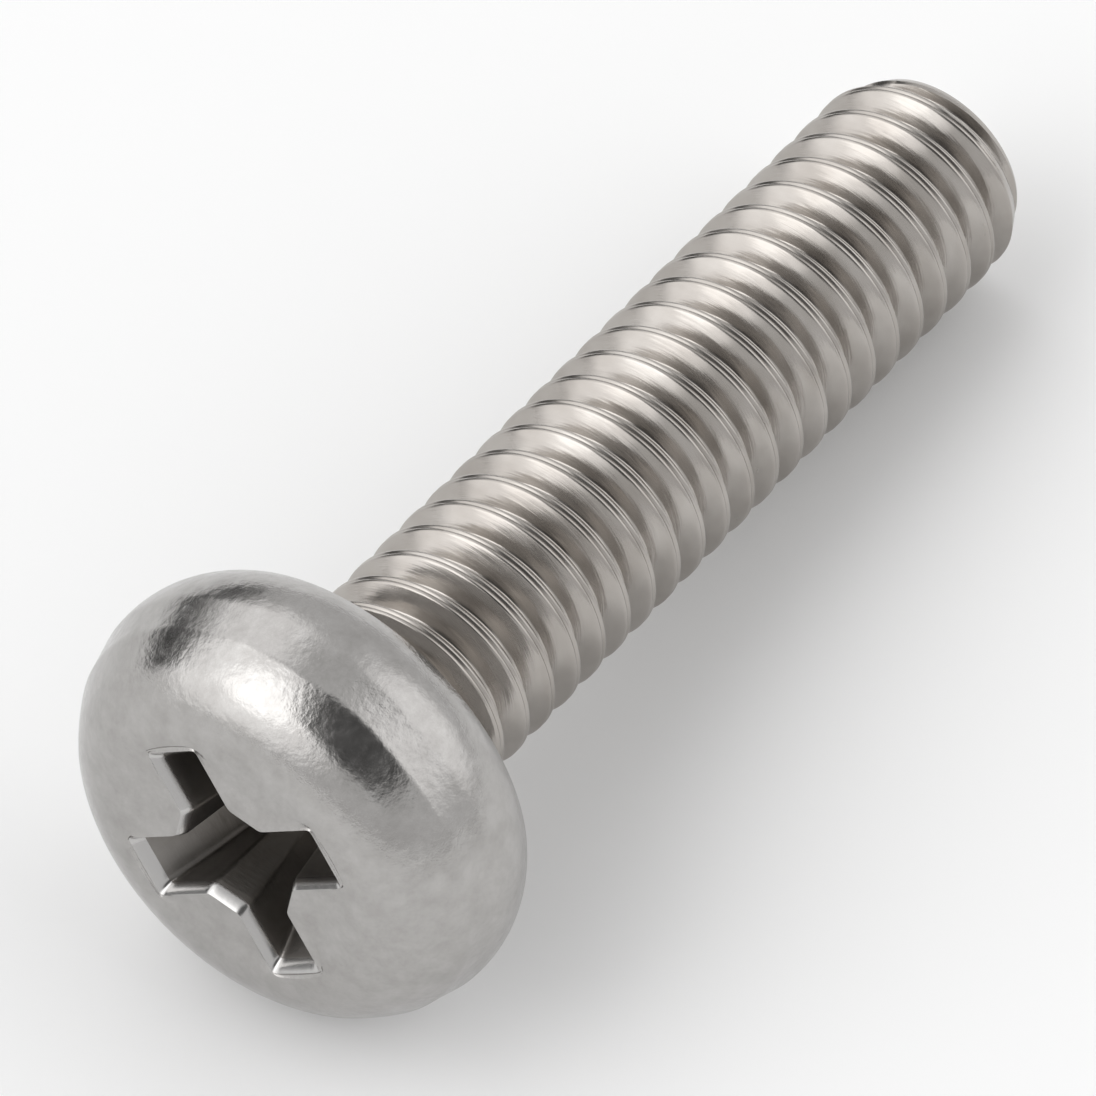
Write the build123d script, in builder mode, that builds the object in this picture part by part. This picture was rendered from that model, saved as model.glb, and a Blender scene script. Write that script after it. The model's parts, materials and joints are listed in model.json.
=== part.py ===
from build123d import *
from math import asin, atan2, cos, hypot, radians, sin, tan
import os

# A pan-head machine screw with a cross recess, threaded up to its head, lying at rest.
# Millimetres, +Z up, the floor at z = 0. The screw's axis points along +X and slopes
# down from the wide head to the tip, because the screw rests on its rim and on the
# last full thread crest before its point. The shank is the thread's crest envelope: the
# helical groove between the crests is surface detail that is added with the finish.

# Threaded shank
MAJOR_DIAMETER = 3.86
LENGTH_UNDER_HEAD = 16.85
TIP_DIAMETER = 3.27
TIP_CHAMFER_LENGTH = 0.58

# Head
HEAD_DIAMETER = 7.9
HEAD_HEIGHT = 2.86
WIDEST_HEIGHT = 0.99
UNDERCUT = 0.35

# Cross recess, sizes at the flat land
RECESS_SPAN = 4.12
WING_WIDTH = 0.94
WING_DEPTH = 1.9
WING_END_TAPER = 26.5
WING_SIDE_TAPER = 3.0
CORE_SPAN = 2.02
CORE_DEPTH = 2.05
CORE_TAPER = 9.0
POINT_DEPTH = 0.3
MOUTH_BEVEL = 0.12
LIP_OVERRUN = 0.05
LAND_MARGIN = 0.02
RECESS_TURN = 51.9

# Head and shank half-sections: the land is just wide enough for the corners of the lip
crest_radius = MAJOR_DIAMETER / 2
head_radius = HEAD_DIAMETER / 2
land_radius = LAND_MARGIN + hypot(
    RECESS_SPAN / 2 + MOUTH_BEVEL, WING_WIDTH / 2 + MOUTH_BEVEL
)
shoulder_width = head_radius - land_radius
shoulder_rise = HEAD_HEIGHT - WIDEST_HEIGHT
under_radius = (UNDERCUT**2 + WIDEST_HEIGHT**2) / (2 * UNDERCUT)

# Resting attitude: the floor touches the rounded underside of the rim and the last crest
rest_crest = LENGTH_UNDER_HEAD - TIP_CHAMFER_LENGTH
span_along = rest_crest + WIDEST_HEIGHT
span_across = head_radius - under_radius - crest_radius
tilt = asin(under_radius / hypot(span_along, span_across)) + atan2(span_across, span_along)
seat_height = rest_crest * sin(tilt) + crest_radius * cos(tilt)

# The seat plane is the head's bearing face: its normal points along the axis to the tip.
# The origin lies on the floor, under the middle of the screw's overall length.
axis_direction = Vector(cos(tilt), 0, -sin(tilt))
upward = Vector(sin(tilt), 0, cos(tilt))
reach_forward = LENGTH_UNDER_HEAD * cos(tilt) + TIP_DIAMETER / 2 * sin(tilt)
reach_back = (
    WIDEST_HEIGHT * cos(tilt)
    + land_radius * sin(tilt)
    + hypot(shoulder_rise * cos(tilt), shoulder_width * sin(tilt))
)
seat_along = (reach_back - reach_forward) / 2
seat = Plane(origin=(seat_along, 0, seat_height), x_dir=upward, z_dir=axis_direction)
section = Plane(origin=seat.origin, x_dir=upward, z_dir=-seat.y_dir)
land = seat.offset(-HEAD_HEIGHT).rotated((0, 0, RECESS_TURN))


def narrowed(size, depth, taper):
    """Size left at the foot of walls that lean in by the taper angle over the depth."""
    return size - 2 * depth * tan(radians(taper))


def grown(sizes, amount):
    """Both sides of a rectangle made larger by the amount."""
    return tuple(size + amount for size in sizes)


# Recess cuts: turn about the axis, mouth, foot, depth
wing_mouth = (RECESS_SPAN, WING_WIDTH)
wing_foot = (
    narrowed(RECESS_SPAN, WING_DEPTH, WING_END_TAPER),
    narrowed(WING_WIDTH, WING_DEPTH, WING_SIDE_TAPER),
)
core_foot = narrowed(CORE_SPAN, CORE_DEPTH, CORE_TAPER)
core_end = CORE_DEPTH - HEAD_HEIGHT
recess_cuts = (
    (0, wing_mouth, wing_foot, WING_DEPTH),
    (90, wing_mouth, wing_foot, WING_DEPTH),
    (45, (CORE_SPAN, CORE_SPAN), (core_foot, core_foot), CORE_DEPTH),
)

with BuildPart() as screw:
    # Head and shank, turned about the axis: an arc under the rim, a quarter ellipse over it
    with BuildSketch(section):
        with BuildLine():
            RadiusArc(
                (head_radius - UNDERCUT, 0), (head_radius, -WIDEST_HEIGHT), under_radius
            )
            EllipticalCenterArc(
                (land_radius, -WIDEST_HEIGHT),
                shoulder_width,
                shoulder_rise,
                start_angle=-90,
                arc_size=90,
            )
            Polyline(
                (land_radius, -HEAD_HEIGHT),
                (0, -HEAD_HEIGHT),
                (0, LENGTH_UNDER_HEAD),
                (TIP_DIAMETER / 2, LENGTH_UNDER_HEAD),
                (crest_radius, LENGTH_UNDER_HEAD - TIP_CHAMFER_LENGTH),
                (crest_radius, 0),
                (head_radius - UNDERCUT, 0),
            )
        make_face()
    revolve(axis=Axis(seat.origin, axis_direction))

    # Cross recess: two crossed wings and a square core, all narrowing with depth,
    # each with a bevelled lip around its mouth
    for turn, mouth, foot, depth in recess_cuts:
        for top, size, bottom, end in (
            (-LIP_OVERRUN, grown(mouth, 2 * (MOUTH_BEVEL + LIP_OVERRUN)), MOUTH_BEVEL, mouth),
            (0, mouth, depth, foot),
        ):
            with BuildSketch(land.rotated((0, 0, turn)).offset(top)):
                Rectangle(*size)
            with BuildSketch(land.rotated((0, 0, turn)).offset(bottom)):
                Rectangle(*end)
            loft(mode=Mode.SUBTRACT)
    with BuildSketch(section):
        with BuildLine():
            Polyline(
                (0, core_end - POINT_DEPTH),
                (core_foot / 2, core_end - POINT_DEPTH),
                (core_foot / 2, core_end),
                (0, core_end + POINT_DEPTH),
                close=True,
            )
        make_face()
    revolve(axis=Axis(seat.origin, axis_direction), mode=Mode.SUBTRACT)

screw.part.label = "screw"

os.makedirs("parts", exist_ok=True)
export_step(screw.part, "parts/screw.step")
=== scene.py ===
import bisect
import math
import json

import bmesh
import bpy
from mathutils import Matrix, Vector


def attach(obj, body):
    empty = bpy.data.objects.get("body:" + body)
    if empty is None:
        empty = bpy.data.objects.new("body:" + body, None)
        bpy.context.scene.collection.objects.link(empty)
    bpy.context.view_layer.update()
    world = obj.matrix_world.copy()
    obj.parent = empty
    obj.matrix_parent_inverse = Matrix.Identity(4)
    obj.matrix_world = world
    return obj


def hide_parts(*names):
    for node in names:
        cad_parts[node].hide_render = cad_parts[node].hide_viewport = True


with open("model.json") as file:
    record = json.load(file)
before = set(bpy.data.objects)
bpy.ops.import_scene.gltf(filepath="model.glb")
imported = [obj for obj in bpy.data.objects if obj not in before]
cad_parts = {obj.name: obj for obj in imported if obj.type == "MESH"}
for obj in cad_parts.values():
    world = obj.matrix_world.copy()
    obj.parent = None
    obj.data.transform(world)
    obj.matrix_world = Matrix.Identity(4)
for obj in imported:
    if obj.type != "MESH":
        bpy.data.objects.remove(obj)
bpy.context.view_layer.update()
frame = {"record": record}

MM = 0.001

# Screw sizes in millimetres, as in the CAD part
MAJOR_RADIUS = 1.93
PITCH = 0.7
THREAD_DEPTH = 0.35
NECK_INSET = 0.1
LENGTH = 16.85
TIP_RADIUS = 1.635
TIP_CHAMFER = 0.58
HEAD_RADIUS = 3.948
HEAD_HEIGHT = 2.858
LAND_RADIUS = 2.278
WIDEST_HEIGHT = 0.99
UNDERCUT = 0.35
RECESS_HALF_SPAN = 2.06
WING_HALF_WIDTH = 0.47
CORE_HALF_SPAN = 1.01
WING_END_TAPER = math.radians(26.5)
WING_SIDE_TAPER = math.radians(3)
CORE_TAPER = math.radians(9)
RECESS_DEPTH = 1.9
RECESS_POINT = 0.45
LIP = 0.09
LIP_DEPTH = 0.2
LIP_ROLL = 0.3
RECESS_TURN = 51.9
CREST_AT_TOP = 0.147
CREASE_ANGLE = math.radians(26.25)
CREASE_REACH = math.radians(20)
CREASE_SINK = (0.012, 0.03)

# Camera: where it looks from, and where the bearing face's centre lies in its view
CAMERA_HEADING = 35.53
CAMERA_DROP = 53.27
CAMERA_LENS = 364.2
SEAT_LEFT = 3.266
SEAT_BELOW = 3.279
SEAT_AWAY = 175.18


# ---------------------------------------------------------------- screw's own frame
def screw_matrix():
    """Places the screw's own frame: z along the axis to the tip, x upward, origin on the seat."""
    mounts = {m["name"]: m for m in frame["record"]["mounts"]}
    axis = Vector(mounts["thread"]["axis"]).normalized()
    middle = Vector(mounts["thread"]["pos_m"])
    seat = middle - axis * mounts["thread"]["dims"]["length_mm"] / 2 * MM
    up = Vector((-axis.z, 0, axis.x))
    turn = Matrix((up, axis.cross(up), axis)).transposed().to_4x4()
    return Matrix.Translation(seat) @ turn


# ---------------------------------------------------------------- head
END_STEPS, SIDE_STEPS, FACET_STEPS = 16, 22, 16
RING = 4 * (END_STEPS + 2 * SIDE_STEPS + FACET_STEPS)
FLOOR_SHARES = (0.04, 0.3, 0.6, 0.85)
WALL_STEPS, LIP_STEPS, LAND_STEPS = 12, 6, 12


def lerp(a, b, t):
    return a + (b - a) * t


def cross_outline(span, width, core, rounding=2):
    """Closed outline of the recess, as flat points, with its corners eased."""
    meet = core * math.sqrt(2) - width
    corners = (
        ((span, -width), (span, width), END_STEPS),
        ((span, width), (meet, width), SIDE_STEPS),
        ((meet, width), (width, meet), FACET_STEPS),
        ((width, meet), (width, span), SIDE_STEPS),
    )
    points = []
    for quarter in range(4):
        turn = math.radians(RECESS_TURN + 90 * quarter)
        c, s = math.cos(turn), math.sin(turn)
        for start, end, steps in corners:
            for i in range(steps):
                x = lerp(start[0], end[0], i / steps)
                y = lerp(start[1], end[1], i / steps)
                points.append(Vector((x * c - y * s, x * s + y * c)))
    for _ in range(rounding):
        points = [
            (points[i - 1] + 2 * points[i] + points[(i + 1) % RING]) / 4 for i in range(RING)
        ]
    return points


def ring_at(outline, along):
    return [Vector((p.x, p.y, along)) for p in outline]


def circle_ring(radius, along, evenness, angles):
    """A circle whose points go from the recess's spacing to even spacing."""
    ring = []
    for i, own in enumerate(angles):
        even = angles[0] + 2 * math.pi * i / RING
        angle = lerp(own, even, evenness)
        ring.append(Vector((radius * math.cos(angle), radius * math.sin(angle), along)))
    return ring


def wall_sizes(depth):
    """Half span, half wing width and half core of the recess at a depth under the land."""
    fall = depth - LIP
    return (
        RECESS_HALF_SPAN - fall * math.tan(WING_END_TAPER),
        WING_HALF_WIDTH - fall * math.tan(WING_SIDE_TAPER),
        CORE_HALF_SPAN - fall * math.tan(CORE_TAPER),
    )


def recess_rings():
    """Rings from the recess's floor up its walls and over its rolled lip."""
    rings = []
    for i in range(WALL_STEPS + 1):
        depth = lerp(RECESS_DEPTH, LIP_DEPTH, i / WALL_STEPS)
        rings.append(ring_at(cross_outline(*wall_sizes(depth)), depth - HEAD_HEIGHT))
    foot = rings[0]
    floor = []
    for share in FLOOR_SHARES:
        deep = RECESS_POINT * (1 - share) - HEAD_HEIGHT + RECESS_DEPTH
        floor.append([Vector((p.x * share, p.y * share, deep)) for p in foot])
    rings = floor + rings
    inner = wall_sizes(LIP_DEPTH)
    outer = (RECESS_HALF_SPAN + LIP, WING_HALF_WIDTH + LIP, CORE_HALF_SPAN + LIP)
    for i in range(1, LIP_STEPS + 1):
        share = i / LIP_STEPS
        roll = math.radians(90 * share)
        out = lerp(share, 1 - math.cos(roll), LIP_ROLL)
        depth = LIP_DEPTH * (1 - lerp(share, math.sin(roll), LIP_ROLL))
        sizes = [lerp(a, b, out) for a, b in zip(inner, outer)]
        rings.append(ring_at(cross_outline(*sizes), depth - HEAD_HEIGHT))
    return rings


def head_profile():
    """(radius, distance along the axis) from the land's edge round to the bearing face."""
    width = HEAD_RADIUS - LAND_RADIUS
    rise = HEAD_HEIGHT - WIDEST_HEIGHT
    points = [(LAND_RADIUS, -HEAD_HEIGHT)]
    steps = 48
    for i in range(1, steps + 1):
        angle = math.radians(90 * (1 - i / steps))
        away = min(abs(angle - CREASE_ANGLE) / CREASE_REACH, 1)
        sink = 4 * CREASE_SINK[angle < CREASE_ANGLE] * away * (1 - away)
        points.append(
            (
                LAND_RADIUS + (width - sink) * math.cos(angle),
                -WIDEST_HEIGHT - (rise - sink) * math.sin(angle),
            )
        )
    under = (UNDERCUT**2 + WIDEST_HEIGHT**2) / (2 * UNDERCUT)
    low = math.asin(WIDEST_HEIGHT / under)
    for i in range(1, 13):
        a = low * i / 12
        points.append((HEAD_RADIUS - under + under * math.cos(a), -WIDEST_HEIGHT + under * math.sin(a)))
    points.append((MAJOR_RADIUS - THREAD_DEPTH - NECK_INSET, 0))
    return points


def head_mesh():
    """Vertices and faces of the head, from the recess's floor to the bearing face."""
    rings = recess_rings()
    lip = rings[-1]
    angles = [math.atan2(p.y, p.x) for p in lip]
    for i in range(1, RING):
        while angles[i] < angles[i - 1]:
            angles[i] += 2 * math.pi
    for i in range(1, LAND_STEPS + 1):
        share = i / LAND_STEPS
        edge = circle_ring(LAND_RADIUS, -HEAD_HEIGHT, 0.35 * share, angles)
        dish = 0.03 * math.sin(math.pi * share) ** 2
        rings.append([p.lerp(q, share) + Vector((0, 0, dish)) for p, q in zip(lip, edge)])
    profile = head_profile()
    for i, (radius, along) in enumerate(profile):
        evenness = min(0.35 + 0.65 * (i + 1) / 14, 1)
        rings.append(circle_ring(radius, along, evenness, angles))
    vertices = [Vector((0, 0, RECESS_POINT + RECESS_DEPTH - HEAD_HEIGHT))]
    for ring in rings:
        vertices.extend(ring)
    faces = [(0, 1 + i, 1 + (i + 1) % RING) for i in range(RING)]
    for k in range(len(rings) - 1):
        low, high = 1 + k * RING, 1 + (k + 1) * RING
        for i in range(RING):
            j = (i + 1) % RING
            faces.append((low + i, high + i, high + j, low + j))
    return vertices, faces


# ---------------------------------------------------------------- thread
# Half of one crest and groove: distance along the axis from the crest's middle, and drop
CREST_TO_ROOT = (
    (0.0, 0.028),
    (0.014, 0.022),
    (0.03, 0.004),
    (0.046, 0.0),
    (0.066, 0.003),
    (0.082, 0.014),
    (0.098, 0.032),
    (0.17, 0.128),
    (0.24, 0.224),
    (0.31, 0.322),
    (0.33, 0.344),
    (0.35, 0.35),
)
TURN_STEPS = 112


def thread_drop(offset):
    """How far the thread lies under its crest, at that distance along the axis from a crest."""
    offset = abs((offset + PITCH / 2) % PITCH - PITCH / 2)
    places = [p[0] for p in CREST_TO_ROOT]
    k = max(1, min(bisect.bisect_left(places, offset), len(places) - 1))
    (x0, y0), (x1, y1) = CREST_TO_ROOT[k - 1], CREST_TO_ROOT[k]
    return lerp(y0, y1, (offset - x0) / (x1 - x0))


def thread_radius(along, offset):
    """Thread surface radius, limited by the chamfer at the tip."""
    tip = max(0, (along - (LENGTH - TIP_CHAMFER)) / TIP_CHAMFER)
    limit = MAJOR_RADIUS - (MAJOR_RADIUS - TIP_RADIUS) * tip
    return min(MAJOR_RADIUS - thread_drop(offset), limit)


def thread_mesh():
    """Columns of vertices that follow the helix, so every crest stays crisp."""
    half = [p[0] for p in CREST_TO_ROOT]
    offsets = [-x for x in reversed(half)][:-1] + half[:-1]
    per_turn = len(offsets)
    turns = int(LENGTH / PITCH) + 3
    vertices, faces = [], []
    rows = turns * per_turn
    for column in range(TURN_STEPS):
        share = column / TURN_STEPS
        angle = 2 * math.pi * share
        for turn in range(turns):
            for offset in offsets:
                crest = (turn - 1 + CREST_AT_TOP + share) * PITCH
                along = min(max(crest + offset, 0), LENGTH)
                radius = thread_radius(along, along - crest)
                vertices.append(Vector((radius * math.cos(angle), radius * math.sin(angle), along)))
    for column in range(TURN_STEPS):
        after = (column + 1) % TURN_STEPS
        shift = per_turn if after == 0 else 0
        for row in range(rows - 1):
            if row + 1 + shift < rows:
                a, b = column * rows + row, after * rows + row + shift
                faces.append((a, b, b + 1, a + 1))
    centre = len(vertices)
    vertices.append(Vector((0, 0, LENGTH)))
    for column in range(TURN_STEPS):
        after = (column + 1) % TURN_STEPS
        faces.append((column * rows + rows - 1, after * rows + rows - 1, centre))
    return vertices, faces


# ---------------------------------------------------------------- materials
class Nodes:
    """Small helper to build a material's node tree."""

    def __init__(self, holder):
        self.tree = holder.node_tree
        self.shader = self.tree.nodes.get("Principled BSDF") or self.tree.nodes["Background"]

    def add(self, kind, inputs=None, **settings):
        node = self.tree.nodes.new(kind)
        for key, value in settings.items():
            setattr(node, key, value)
        for key, value in (inputs or {}).items():
            if isinstance(value, bpy.types.NodeSocket):
                self.tree.links.new(value, node.inputs[key])
            else:
                node.inputs[key].default_value = value
        return node

    def link(self, output, name):
        self.tree.links.new(output, self.shader.inputs[name])

    def place(self, scale):
        """Position in the screw's own frame, in millimetres, scaled by axis."""
        own = self.add("ShaderNodeAttribute", attribute_name="own_mm")
        scaled = self.add("ShaderNodeVectorMath", {0: own.outputs["Vector"], 1: scale}, operation="MULTIPLY")
        return scaled.outputs[0]

    def noise(self, scale, size=1.0, detail=3.0, rough=0.55):
        node = self.add(
            "ShaderNodeTexNoise",
            {"Vector": self.place(scale), "Scale": size, "Detail": detail, "Roughness": rough},
        )
        return node.outputs["Fac"]

    def ramp(self, fac, *stops):
        node = self.add("ShaderNodeValToRGB", {"Fac": fac})
        while len(node.color_ramp.elements) < len(stops):
            node.color_ramp.elements.new(0.5)
        for element, (place, colour) in zip(node.color_ramp.elements, stops):
            element.position = place
            element.color = (*colour, 1)
        return node.outputs["Color"]

    def bump(self, height, strength, distance, under=None):
        inputs = {"Height": height, "Strength": strength, "Distance": distance * MM}
        if under is not None:
            inputs["Normal"] = under
        return self.add("ShaderNodeBump", inputs).outputs["Normal"]


def grey(value, warmth=0.0):
    return (value, value * (1 - warmth), value * (1 - 2 * warmth))


def steel(name):
    material = bpy.data.materials.new(name)
    material.use_nodes = True
    nodes = Nodes(material)
    nodes.shader.inputs["Metallic"].default_value = 1.0
    return material, nodes


def crown_material():
    """Tumbled stainless: a bright skin with a fine beaten texture."""
    material, n = steel("stainless_crown")
    cloud = n.noise((1, 1, 1), 2.2, 8, 0.74)
    n.link(n.ramp(cloud, (0.3, grey(0.36, 0.032)), (0.7, grey(0.47, 0.024))), "Base Color")
    wear = n.noise((1, 1, 1), 6.0, 3)
    n.link(n.ramp(wear, (0.35, grey(0.16)), (0.7, grey(0.26))), "Roughness")
    beaten = n.bump(n.noise((1, 1, 1), 7.5, 2.5), 0.32, 0.022)
    grain = n.bump(n.noise((1, 1, 1), 26.0, 2.0), 0.25, 0.006, beaten)
    n.link(grain, "Normal")
    return material


def lip_material():
    """The recess's rolled lip: the crown's skin pressed smooth, with a brighter base colour that is a
    painted highlight.
    """
    material, n = steel("stainless_lip")
    # painted highlight: the lip's base colour is set brighter than the crown's steel
    n.shader.inputs["Base Color"].default_value = (*grey(0.52, 0.016), 1)
    n.shader.inputs["Roughness"].default_value = 0.22
    n.link(n.bump(n.noise((1, 1, 1), 5.0, 2.0), 0.15, 0.01), "Normal")
    return material


def thread_material():
    """Rolled thread: warm grey flanks with fine lines that run round the screw. The cloud in the grey is the
    steel's own random tone; its extra warmth over the crown is a painted reflection of light bouncing
    between the turns.
    """
    material, n = steel("stainless_thread")
    cloud = n.noise((0.5, 0.5, 1.2), 1.6, 3)
    # painted reflection: these greys are warmer than the crown's steel to stand in for light reflected
    # between the turns
    n.link(n.ramp(cloud, (0.3, grey(0.37, 0.07)), (0.72, grey(0.47, 0.055))), "Base Color")
    wear = n.noise((0.6, 0.6, 3), 2.5, 3)
    n.link(n.ramp(wear, (0.3, grey(0.15)), (0.75, grey(0.28))), "Roughness")
    lines = n.bump(n.noise((0.7, 0.7, 30), 1.0, 3), 0.3, 0.008)
    waves = n.bump(n.noise((0.8, 0.8, 2.5), 1.4, 2), 0.3, 0.03, lines)
    n.link(waves, "Normal")
    return material


def recess_material():
    """Struck recess: duller than the crown; its darker base colour with a warm cast is painted shade and
    painted warm reflection inside the recess.
    """
    material, n = steel("stainless_recess")
    cloud = n.noise((1, 1, 0.6), 1.8, 4)
    # painted shade: the recess's base colour is set darker and warmer than the crown's steel
    n.link(n.ramp(cloud, (0.3, grey(0.25, 0.06)), (0.7, grey(0.33, 0.05))), "Base Color")
    n.shader.inputs["Roughness"].default_value = 0.36
    n.link(n.bump(n.noise((1.5, 1.5, 8), 2.0, 3), 0.3, 0.015), "Normal")
    return material


def build_screw():
    head_vertices, head_faces = head_mesh()
    thread_vertices, thread_faces = thread_mesh()
    start = len(head_vertices)
    own = head_vertices + thread_vertices
    faces = head_faces + [tuple(i + start for i in face) for face in thread_faces]
    place = screw_matrix()
    mesh = bpy.data.meshes.new("screw_metal")
    mesh.from_pydata([place @ (p * MM) for p in own], [], faces)
    marks = mesh.attributes.new("own_mm", "FLOAT_VECTOR", "POINT")
    marks.data.foreach_set("vector", [c for p in own for c in p])
    for maker in (crown_material, thread_material, recess_material, lip_material):
        mesh.materials.append(maker())
    walls = 1 + (len(FLOOR_SHARES) + WALL_STEPS + 1) * RING
    lips = walls + LIP_STEPS * RING
    for polygon in mesh.polygons:
        first = min(polygon.vertices)
        if first >= start:
            polygon.material_index = 1
        elif max(polygon.vertices) < walls:
            polygon.material_index = 2
        elif max(polygon.vertices) < lips:
            polygon.material_index = 3
    mesh.validate()
    tidy(mesh)
    screw = bpy.data.objects.new("screw_metal", mesh)
    bpy.context.scene.collection.objects.link(screw)
    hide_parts("screw")
    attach(screw, "root")
    return screw


def tidy(mesh):
    """Merges the points that meet at the ends of the thread, then smooths all but sharp edges."""
    work = bmesh.new()
    work.from_mesh(mesh)
    bmesh.ops.remove_doubles(work, verts=work.verts, dist=1e-7)
    bmesh.ops.dissolve_degenerate(work, edges=work.edges, dist=1e-8)
    bmesh.ops.recalc_face_normals(work, faces=work.faces)
    work.to_mesh(mesh)
    work.free()
    mesh.shade_smooth()
    mesh.set_sharp_from_angle(angle=math.radians(38))


# ---------------------------------------------------------------- studio
FLOOR_SIZE = 3.0

# Soft panels in an even room: azimuth, elevation, inner and outer angle, level against the room
ROOM_LEVEL = 0.76
PANELS = (
    (142, 38, 29, 43, 2.2),
    (65, 45, 12, 28, 1.9),
    (-50, 38, 18, 38, 1.9),
    (-138, 58, 20, 33, 0.15),
    (92, 2, 14, 25, 0.12),
    (58, 2, 12, 22, 0.2),
)


def build_floor():
    mesh = bpy.data.meshes.new("floor")
    half = FLOOR_SIZE / 2
    corners = [(-half, -half, 0), (half, -half, 0), (half, half, 0), (-half, half, 0)]
    mesh.from_pydata(corners, [], [(0, 1, 2, 3)])
    material = bpy.data.materials.new("pale_floor")
    material.use_nodes = True
    shader = material.node_tree.nodes["Principled BSDF"]
    shader.inputs["Base Color"].default_value = (0.94, 0.94, 0.94, 1)
    shader.inputs["Roughness"].default_value = 0.9
    shader.inputs["Specular IOR Level"].default_value = 0.0
    mesh.materials.append(material)
    floor = bpy.data.objects.new("floor", mesh)
    bpy.context.scene.collection.objects.link(floor)


def add_light(name, azimuth, elevation, distance, size, watts):
    """A soft round lamp that faces the screw."""
    a, e = math.radians(azimuth), math.radians(elevation)
    toward = Vector((math.cos(a) * math.cos(e), math.sin(a) * math.cos(e), math.sin(e)))
    lamp = bpy.data.lights.new(name, "AREA")
    lamp.shape = "DISK"
    lamp.size = size
    lamp.energy = watts
    holder = bpy.data.objects.new(name, lamp)
    holder.location = toward * distance
    holder.rotation_euler = (-toward).to_track_quat("-Z", "Y").to_euler()
    bpy.context.scene.collection.objects.link(holder)


def build_world():
    """An even pale room with soft bright and dark panels, as in a studio."""
    world = bpy.data.worlds.new("studio")
    world.use_nodes = True
    n = Nodes(world)
    direction = n.add("ShaderNodeTexCoord").outputs["Generated"]
    level = None
    for azimuth, elevation, inner, outer, left in PANELS:
        a, e = math.radians(azimuth), math.radians(elevation)
        toward = (math.cos(a) * math.cos(e), math.sin(a) * math.cos(e), math.sin(e))
        facing = n.add("ShaderNodeVectorMath", {0: direction, 1: toward}, operation="DOT_PRODUCT")
        panel = n.add(
            "ShaderNodeMapRange",
            {
                "Value": facing.outputs["Value"],
                "From Min": math.cos(math.radians(outer)),
                "From Max": math.cos(math.radians(inner)),
                "To Min": 1.0,
                "To Max": left,
            },
            interpolation_type="SMOOTHSTEP",
        ).outputs["Result"]
        if level is None:
            level = panel
        else:
            level = n.add("ShaderNodeMath", {0: level, 1: panel}, operation="MULTIPLY").outputs[0]
    n.link(level, "Strength")
    n.shader.inputs["Color"].default_value = (*grey(ROOM_LEVEL), 1)
    bpy.context.scene.world = world


def build_camera():
    heading, drop = math.radians(CAMERA_HEADING), math.radians(CAMERA_DROP)
    forward = Vector(
        (math.cos(drop) * math.cos(heading), math.cos(drop) * math.sin(heading), -math.sin(drop))
    )
    right = Vector((math.sin(heading), -math.cos(heading), 0))
    up = right.cross(forward)
    seat = screw_matrix().translation
    camera = bpy.data.cameras.new("camera")
    camera.lens = CAMERA_LENS
    camera.sensor_width = 36
    camera.clip_start = 0.01
    camera.clip_end = 10
    holder = bpy.data.objects.new("camera", camera)
    holder.location = seat + (right * SEAT_LEFT + up * SEAT_BELOW - forward * SEAT_AWAY) * MM
    holder.rotation_euler = Matrix((right, up, -forward)).transposed().to_euler()
    bpy.context.scene.collection.objects.link(holder)
    bpy.context.scene.camera = holder


build_screw()
build_floor()
build_world()
add_light("key", 148, 45, 0.6, 0.4, 0.36)
build_camera()
bpy.context.scene.view_settings.view_transform = "Standard"
